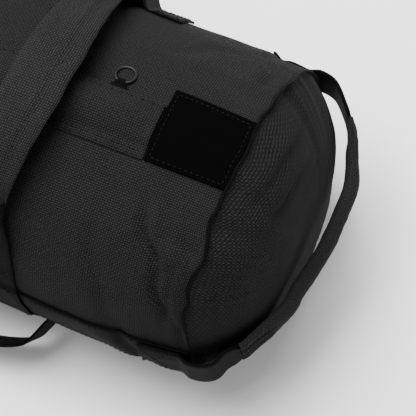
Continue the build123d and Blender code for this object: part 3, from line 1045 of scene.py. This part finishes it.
def make_side_handle(angle, word):
    """The carrying handle along one side, with a padded grip."""
    route = side_route()
    section = strap_section(STRAP_WIDTH, STRAP_THICKNESS * 0.9, 8, 3)
    away = Vector((0, math.cos(angle), math.sin(angle)))
    across_way = Vector((0, -math.sin(angle), math.cos(angle)))
    body = f"side_handle_{word}"
    seed = 3.0 if word == "back" else 8.0

    def strap_place(u, across, out):
        (x, r), (nx, nr) = route.at(u)
        here = Vector((x - nx * out, 0, AXIS_Z)) + away * (r - nr * out) + across_way * across
        settle = smooth((abs(x) - 0.1475) / 0.010)
        if settle > 0:
            here = here.lerp(skin(x, angle + across / BODY_RADIUS, STRAP_LIFT + out), settle)
        return here

    for sign, end in ((1, "right"), (-1, "left")):
        def half_place(u, across, out, sign=sign):
            share = 0.5 * u * 0.999
            return strap_place(share if sign > 0 else 1 - share, across, out)
        piece = strap(f"side_strap_{word}_{end}", 110, route.length / 2, section, half_place,
                      material("webbing"), None)
        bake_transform(piece)
        if end == "right":
            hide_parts(f"side_handle_anchor_{word}", f"side_handle_webbing_{word}")

    crown = BODY_RADIUS + 0.0451
    reach = 0.072

    def width(u):
        return 0.0207 * (0.90 + 0.10 * pinch(u))

    def thickness(u, ca):
        return 0.0042 * (0.55 + 0.45 * pinch(u)) * (1 - 0.10 * abs(ca))

    def spine(u, across, out):
        s = across / 0.021
        if out > 0:
            out -= 0.0008 * smooth((across - 0.0110) / 0.0012)
            out += 0.0006 * wave(u * 12, s * 2.5, seed)
            gather = math.sin(s * 15 + wave(u * 3, s, seed))
            out += 0.0009 * gather * math.exp(-min(u, 1 - u) / 0.05)
        r = crown + out - 0.0004 * (2 * u - 1) ** 2
        return Vector((reach * (1 - 2 * u), 0, AXIS_Z)) + away * r + across_way * across

    piece = grip(f"side_grip_{word}", 80, 2 * reach, width, thickness, spine, body, 0.6, 60,
                 GRIP_POWER)
    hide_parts(f"side_handle_sleeve_{word}", f"side_handle_pad_{word}")
    grip_seams(f"side_grip_stitches_{word}", body, spine, width, thickness,
               lambda u: 0.0088 / width(u), lambda here: away)
    spread = CROSS_HALF / BODY_RADIUS
    tacks = []
    for sign in (1, -1):
        corners = ((sign * 0.1565, angle - spread), (sign * 0.1765, angle + spread))
        tacks += boxed_cross(corners, STRAP_THICKNESS + 0.0002)
    stitch_row(f"side_handle_tacks_{word}", tacks, "thread", "bag")


def make_zip():
    """The zip's tapes, coil teeth, slider and pull."""
    for node in ("zip_tape_back", "zip_tape_front"):
        dress_node(node, "hook_tape")
    for node in ("zip_stops", "zip_slider", "zip_pull_ring"):
        dress_node(node, "metal")
    # Each tooth of the coil is one small loop that lies over the zip's middle
    work = bmesh.new()
    pitch, middle = 0.0019, (coil_low.z + coil_high.z) / 2
    half_width, half_height = coil_high.y, (coil_high.z - coil_low.z) / 2
    for i in range(int((coil_high.x - coil_low.x) / pitch)):
        x = coil_low.x + pitch * (i + 0.5)
        for side in (1, -1):
            made = bmesh.ops.create_uvsphere(work, u_segments=6, v_segments=5, radius=1.0)
            for vert in made["verts"]:
                a, b, c = vert.co
                vert.co = (x + pitch * (0.25 * side + 0.30 * a + 0.15 * side * c),
                           half_width * (0.36 * side + 0.62 * c), middle + b * half_height * 0.95)
    teeth = finish_mesh("zip_teeth", work, material("nylon"), "bag")
    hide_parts("zip_coil")

    # The cloth pull folds round the slider's bail, widens past the flap and holds the ring
    bail_z, over = slider_high.z - 0.001, AXIS_Z + BODY_RADIUS
    eye_y, eye_z = ring_low.y + 0.0011, ring_high.z - 0.0011
    line = Route([(-0.0022, bail_z - 0.0012), (-0.0012, bail_z + 0.0016),
                  (0.0020, bail_z + 0.0016), (0.0052, bail_z - 0.0014),
                  (0.0090, over + 0.0021), (0.0130, over + 0.0017), (0.0165, over + 0.0022),
                  (eye_y - 0.0010, eye_z + 0.0018), (eye_y + 0.0017, eye_z + 0.0008),
                  (eye_y + 0.0012, eye_z - 0.0015), (0.0178, over - 0.0002),
                  (0.0150, over + 0.0004), (0.0105, over + 0.0010)], 12)

    def tab_place(u, across, out):
        (y, z), (ny, nz) = line.at(u)
        wide = 5.0 + 10.0 * smooth((y - 0.0080) / 0.005) - 8.5 * smooth((y - 0.0150) / 0.0050)
        return Vector((SLIDER_X + across * wide, y - ny * out, z - nz * out))

    # The section is a millimetre across, and tab_place widens it along the pull
    section = [(a / 16, out, run) for a, out, run in strap_section(0.016, 0.0010, 6, 3)]
    tab = strap("zip_pull_cloth", 90, line.length, section, tab_place, material("webbing"),
                "zip_pull")
    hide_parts("zip_pull_tab")


def flap_profile(x):
    """The flap's section at x: from its sewn hem over the slider's height to its free edge."""
    sway = wave(x * 13, 2.0) * 0.0006
    free = wave(x * 22, 7.0) * 0.0010 + wave(x * 60, 1.0) * 0.0004
    near_end = smooth((abs(x) - 0.190) / 0.022)
    crest = flap_crest.z - 0.0008 - 0.0030 * near_end + sway
    edge = 0.0040 + free - 0.0016 * near_end
    rim = flap_high.y - 0.0004

    def above(y, lift):
        return skin(x, top_half_angle(y), lift).z

    shoulder = max(above(-0.0150, 0.0042), AXIS_Z + BODY_RADIUS + 0.0016)
    return Route([(hem_low.y, above(hem_low.y, 0.0011)), (-0.0255, above(-0.0255, 0.0012)),
                  (-0.0208, above(-0.0208, 0.0014)), (-0.0150, shoulder),
                  (-0.0078, crest - 0.0010), (0.0, crest + 0.0003), (0.0060, crest - 0.0008),
                  (0.0098, (crest + above(rim, edge)) / 2),
                  (rim - 0.0022 + free * 0.5, above(rim - 0.0022, edge + 0.0005)),
                  (rim + free * 0.3, above(rim, edge))], 8)


def make_flap():
    """The storm flap over the zip, sewn down along its back hem."""
    length = flap_high.x - flap_low.x
    lines = {}

    def place(u, v):
        x = flap_low.x + length * u
        if u not in lines:
            lines[u] = flap_profile(x)
        y, z = lines[u].at(v)[0]
        # Small puckers along the stitched edge, and larger ones along the hem
        pucker = 0.00045 * math.sin(x * 760 + 3 * wave(x * 20, 4.0))
        pucker *= math.exp(-((v - EDGE_ROW) / 0.06) ** 2)
        ruck = wave(x * 75, 3.0) + 0.5 * math.sin(x * 520 + 3 * wave(x * 15, 9.0))
        pucker += 0.0010 * ruck * math.exp(-((v - 0.085) / 0.07) ** 2)
        return Vector((x, y, z + max(pucker, -0.0007)))

    flat = (length, flap_profile(0.0).length)
    piece = cloth("storm_flap_cloth", 213, 40, flat, place, material("canvas"), None,
                  thickness=0.0011, outward=Vector((0, 0, 1)))
    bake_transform(piece)
    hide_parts("storm_flap", "storm_flap_edge", "storm_flap_hem")

    for name, v, body in (("flap_hem_stitches_1", 0.045, "bag"),
                          ("flap_hem_stitches_2", 0.125, "bag"),
                          ("flap_edge_stitches", EDGE_ROW, "flap")):
        def point(t, v=v):
            x = flap_low.x + 0.003 + (length - 0.006) * t
            (y, z), (ny, nz) = flap_profile(x).at(v)
            out = Vector((0, -ny, -nz))
            if out.z < 0:
                out = -out
            return Vector((x, y, z)) + out * 0.0002, out
        stitch_row(name, stitch_line(point), "thread", body)


def make_patch(side, word):
    """The dull patch between one end of the zip and the end seam."""
    low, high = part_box(f"end_patch_{word}")
    half_angle = math.asin(high.y / BODY_RADIUS)

    def place(u, v):
        x = low.x + (high.x - low.x) * u
        angle = TOP + half_angle * (1 - 2 * v)
        edge = min(u, 1 - u, v, 1 - v)
        lift = 0.0013 + 0.0007 * wave(x * 40, v * 3, side) * smooth(edge / 0.2)
        return skin(x, angle, lift - 0.0004 * bump(edge - 0.055, 0.03))

    flat = (high.x - low.x, 2 * half_angle * BODY_RADIUS)
    piece = cloth(f"zip_end_patch_{word}", 34, 32, flat, place, material("patch"), "bag",
                  thickness=0.0010, outward=Vector((0, 0, 1)))
    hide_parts(f"end_patch_{word}")
    x0, x1, a = low.x + 0.0035, high.x - 0.0035, half_angle - 0.0035 / BODY_RADIUS
    corners = [(x0, TOP - a), (x1, TOP - a), (x1, TOP + a), (x0, TOP + a), (x0, TOP - a)]
    spots = [s for p, q in zip(corners, corners[1:]) for s in line_on_skin(p, q, 0.0013)]
    stitch_row(f"patch_stitches_{word}", spots, "thread", "bag")


def make_filler(number):
    """A filled pouch inside, with a strip of hook tape over its opening."""
    low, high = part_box(f"filler_bag_{number}")
    top_low, top_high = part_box(f"filler_closure_{number}")
    radius, length = high.y, high.x - low.x

    def place(u, v):
        angle = 2 * math.pi * v
        run = 2 * u - 1
        r = radius * (1 - abs(run) ** 9) ** 0.4 if abs(run) < 1 else 0.0
        top = smooth(abs(turn(angle - TOP)) / 0.3 - 0.4)
        r -= 0.0045 * top * abs(round_wave(u * 4 + number, angle, 3))
        r -= 0.0020 * math.exp(-(1 - abs(run)) / 0.10) * (1 + math.sin(angle * 26 + number))
        r = max(r - 0.0006, 0.0)
        x = low.x + length * (0.5 + 0.5 * math.copysign(abs(run) ** 0.9, run))
        z = AXIS_Z + r * math.sin(angle)
        return Vector((x, r * math.cos(angle), lay_on_floor(z, low.z + 0.0006)))

    shares = [0.5 + 0.5 * math.sin(math.pi * (k / 56 - 0.5)) for k in range(57)]
    pouch = cloth(f"filler_pouch_{number}", 56, 88, (length, 2 * math.pi * radius), place,
                  material("pouch"), "bag", wrap=True, rows_at=shares)
    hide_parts(f"filler_bag_{number}")
    half_angle = math.asin(top_high.y / radius)

    def tape_place(u, v):
        x = top_low.x + (top_high.x - top_low.x) * u
        angle = TOP + half_angle * (1 - 2 * v)
        r = radius + 0.0010 + 0.0002 * wave(x * 50, v * 4)
        return Vector((x, r * math.cos(angle), AXIS_Z + r * math.sin(angle)))

    flat = (top_high.x - top_low.x, 2 * half_angle * radius)
    tape = cloth(f"filler_hook_tape_{number}", 30, 8, flat, tape_place, material("hook_tape"),
                 "bag", thickness=0.0012, outward=Vector((0, 0, 1)))
    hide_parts(f"filler_closure_{number}")


def make_stitching():
    """Rows of stitches along the straps that are sewn to the body."""
    inset = 0.0160
    spots = []
    for angle in (BACK, FRONT):
        for across in (-inset, inset):
            turned = angle + across / BODY_RADIUS
            for x0, x1 in ((-0.236, -0.147), (-0.103, 0.103), (0.147, 0.236)):
                spots += line_on_skin((x0, turned), (x1, turned), STRAP_THICKNESS + 0.0001)
    stitch_row("level_strap_stitches", spots, "thread", "bag")

    # Each sewn part of a girth strap has a row along both edges, and a cross at its upper end
    spots = []
    runs = [(0.45, 0.54, a, a) for a in (-inset, inset)]
    runs += [(0.87, 0.11, a, -a) for a in (-inset, inset)]
    end = math.radians(22)
    for side in (1, -1):
        for last in (end, -math.pi - end):
            place = girth_place(side * GIRTH_X, -math.pi / 2, last)
            for start, length, a0, a1 in runs:
                def point(t, place=place, start=start, length=length, a0=a0, a1=a1):
                    here = place(start + length * t, a0 + (a1 - a0) * t, STRAP_THICKNESS / 2)
                    return here, Vector((0, here.y, here.z - AXIS_Z)).normalized()
                spots += stitch_line(point)
    stitch_row("girth_strap_stitches", spots, "thread", "bag")


def make_stage():
    """A plain pale floor, soft light and the camera."""
    work = bmesh.new()
    bmesh.ops.create_grid(work, x_segments=1, y_segments=1, size=6.0)
    data = bpy.data.meshes.new("studio_floor")
    work.to_mesh(data)
    work.free()
    floor = bpy.data.objects.new("studio_floor", data)
    bpy.context.scene.collection.objects.link(floor)
    floor.location.z = -0.0002
    paint = Nodes("floor_paper")
    grain = paint.noise(paint.place(), 30.0)
    pale = paint.colour(grain, (0.90, 0.90, 0.90), (0.94, 0.94, 0.94))
    data.materials.append(paint.finish(pale, 0.9))

    world = bpy.data.worlds.new("studio_world")
    bpy.context.scene.world = world
    world.use_nodes = True
    world.node_tree.nodes["Background"].inputs[0].default_value = (1, 1, 1, 1)
    world.node_tree.nodes["Background"].inputs[1].default_value = 0.55
    for name, place, size, power in (("key_light", (-0.35, 0.30, 2.2), 1.7, 170.0),
                                     ("fill_light", (1.2, -1.8, 1.6), 1.6, 6.0)):
        lamp = bpy.data.lights.new(name, "AREA")
        lamp.size, lamp.energy = size, power
        light = bpy.data.objects.new(name, lamp)
        light.location = place
        light.rotation_mode = "QUATERNION"
        aim = Vector((0.1, 0, 0.12)) - Vector(place)
        light.rotation_quaternion = aim.to_track_quat("-Z", "Y")
        bpy.context.scene.collection.objects.link(light)

    lens = bpy.data.cameras.new("view_camera")
    lens.sensor_width, lens.lens = 36.0, 163.1
    lens.clip_start, lens.clip_end = 0.05, 20.0
    camera = bpy.data.objects.new("view_camera", lens)
    back = Vector((0.23334, -0.31265, 0.92076)).normalized()
    right = Vector((0.91037, 0.40301, -0.09386))
    right = (right - back * right.dot(back)).normalized()
    camera.rotation_mode = "QUATERNION"
    turned = Matrix((right, back.cross(right), back)).transposed()
    camera.rotation_quaternion = turned.to_quaternion()
    camera.location = (0.58554, -0.46564, 1.47833)
    bpy.context.scene.collection.objects.link(camera)
    bpy.context.scene.camera = camera


# --- Operators and panel -----------------------------------------------------------------

class SANDBAG_OT_body(bpy.types.Operator):
    """Build the filled canvas body and its end panels"""
    bl_idname = "sandbag.body"
    bl_label = "Canvas Body"

    def execute(self, context):
        make_skin()
        for side, word in SIDES:
            make_panel(side, word)
        return {"FINISHED"}


class SANDBAG_OT_webbing(bpy.types.Operator):
    """Sew the level and girth straps on"""
    bl_idname = "sandbag.webbing"
    bl_label = "Sewn Straps"

    def execute(self, context):
        make_webbing()
        return {"FINISHED"}


class SANDBAG_OT_top_handles(bpy.types.Operator):
    """Build the padded handles that arch over the top"""
    bl_idname = "sandbag.top_handles"
    bl_label = "Top Handles"

    def execute(self, context):
        for side, word in SIDES:
            make_top_handle(side, word)
        return {"FINISHED"}


class SANDBAG_OT_end_handles(bpy.types.Operator):
    """Build the handles at the two ends"""
    bl_idname = "sandbag.end_handles"
    bl_label = "End Handles"

    def execute(self, context):
        for side, word in SIDES:
            make_end_handle(side, word)
        return {"FINISHED"}


class SANDBAG_OT_side_handles(bpy.types.Operator):
    """Build the padded handles along the two sides"""
    bl_idname = "sandbag.side_handles"
    bl_label = "Side Handles"

    def execute(self, context):
        for angle, word in ((30, "back"), (210, "front")):
            make_side_handle(math.radians(angle), word)
        return {"FINISHED"}


class SANDBAG_OT_zip(bpy.types.Operator):
    """Build the zip's teeth and pull, and finish its metal"""
    bl_idname = "sandbag.zip"
    bl_label = "Zip"

    def execute(self, context):
        make_zip()
        return {"FINISHED"}


class SANDBAG_OT_flap(bpy.types.Operator):
    """Build the storm flap and the two end patches"""
    bl_idname = "sandbag.flap"
    bl_label = "Flap and Patches"

    def execute(self, context):
        make_flap()
        for side, word in SIDES:
            make_patch(side, word)
        return {"FINISHED"}


class SANDBAG_OT_fillers(bpy.types.Operator):
    """Build the filled pouches inside the bag"""
    bl_idname = "sandbag.fillers"
    bl_label = "Filler Pouches"

    def execute(self, context):
        for number in range(1, 5):
            make_filler(number)
        return {"FINISHED"}


class SANDBAG_OT_stitching(bpy.types.Operator):
    """Stitch along the straps that are sewn to the body"""
    bl_idname = "sandbag.stitching"
    bl_label = "Strap Stitching"

    def execute(self, context):
        make_stitching()
        return {"FINISHED"}


class SANDBAG_OT_stage(bpy.types.Operator):
    """Add the floor, the lights and the camera"""
    bl_idname = "sandbag.stage"
    bl_label = "Studio"

    def execute(self, context):
        make_stage()
        return {"FINISHED"}


OPERATORS = (SANDBAG_OT_body, SANDBAG_OT_webbing, SANDBAG_OT_top_handles, SANDBAG_OT_end_handles,
             SANDBAG_OT_side_handles, SANDBAG_OT_zip, SANDBAG_OT_flap, SANDBAG_OT_fillers,
             SANDBAG_OT_stitching, SANDBAG_OT_stage)


class SANDBAG_PT_build(bpy.types.Panel):
    """Buttons that build the sandbag, in order"""
    bl_idname = "SANDBAG_PT_build"
    bl_label = "Training Sandbag"
    bl_space_type = "VIEW_3D"
    bl_region_type = "UI"
    bl_category = "Sandbag"

    def draw(self, context):
        for name in BagSizes.__annotations__:
            self.layout.prop(context.scene.bag_sizes, name)
        for name in BagColours.__annotations__:
            self.layout.prop(context.scene.bag_colours, name)
        for operator in OPERATORS:
            self.layout.operator(operator.bl_idname)


CLASSES = (BagSizes, BagColours, *OPERATORS, SANDBAG_PT_build)


def register():
    """Adds the buttons, sizes and colours."""
    for cls in CLASSES:
        bpy.utils.register_class(cls)
    bpy.types.Scene.bag_sizes = bpy.props.PointerProperty(type=BagSizes)
    bpy.types.Scene.bag_colours = bpy.props.PointerProperty(type=BagColours)


def unregister():
    """Takes them away again."""
    del bpy.types.Scene.bag_colours
    del bpy.types.Scene.bag_sizes
    for cls in reversed(CLASSES):
        bpy.utils.unregister_class(cls)


def main():
    """Builds the sandbag and its stage."""
    register()
    bpy.ops.sandbag.body()
    bpy.ops.sandbag.webbing()
    bpy.ops.sandbag.top_handles()
    bpy.ops.sandbag.end_handles()
    bpy.ops.sandbag.side_handles()
    bpy.ops.sandbag.zip()
    bpy.ops.sandbag.flap()
    bpy.ops.sandbag.fillers()
    bpy.ops.sandbag.stitching()
    bpy.ops.sandbag.stage()


if __name__ == "__main__":
    main()
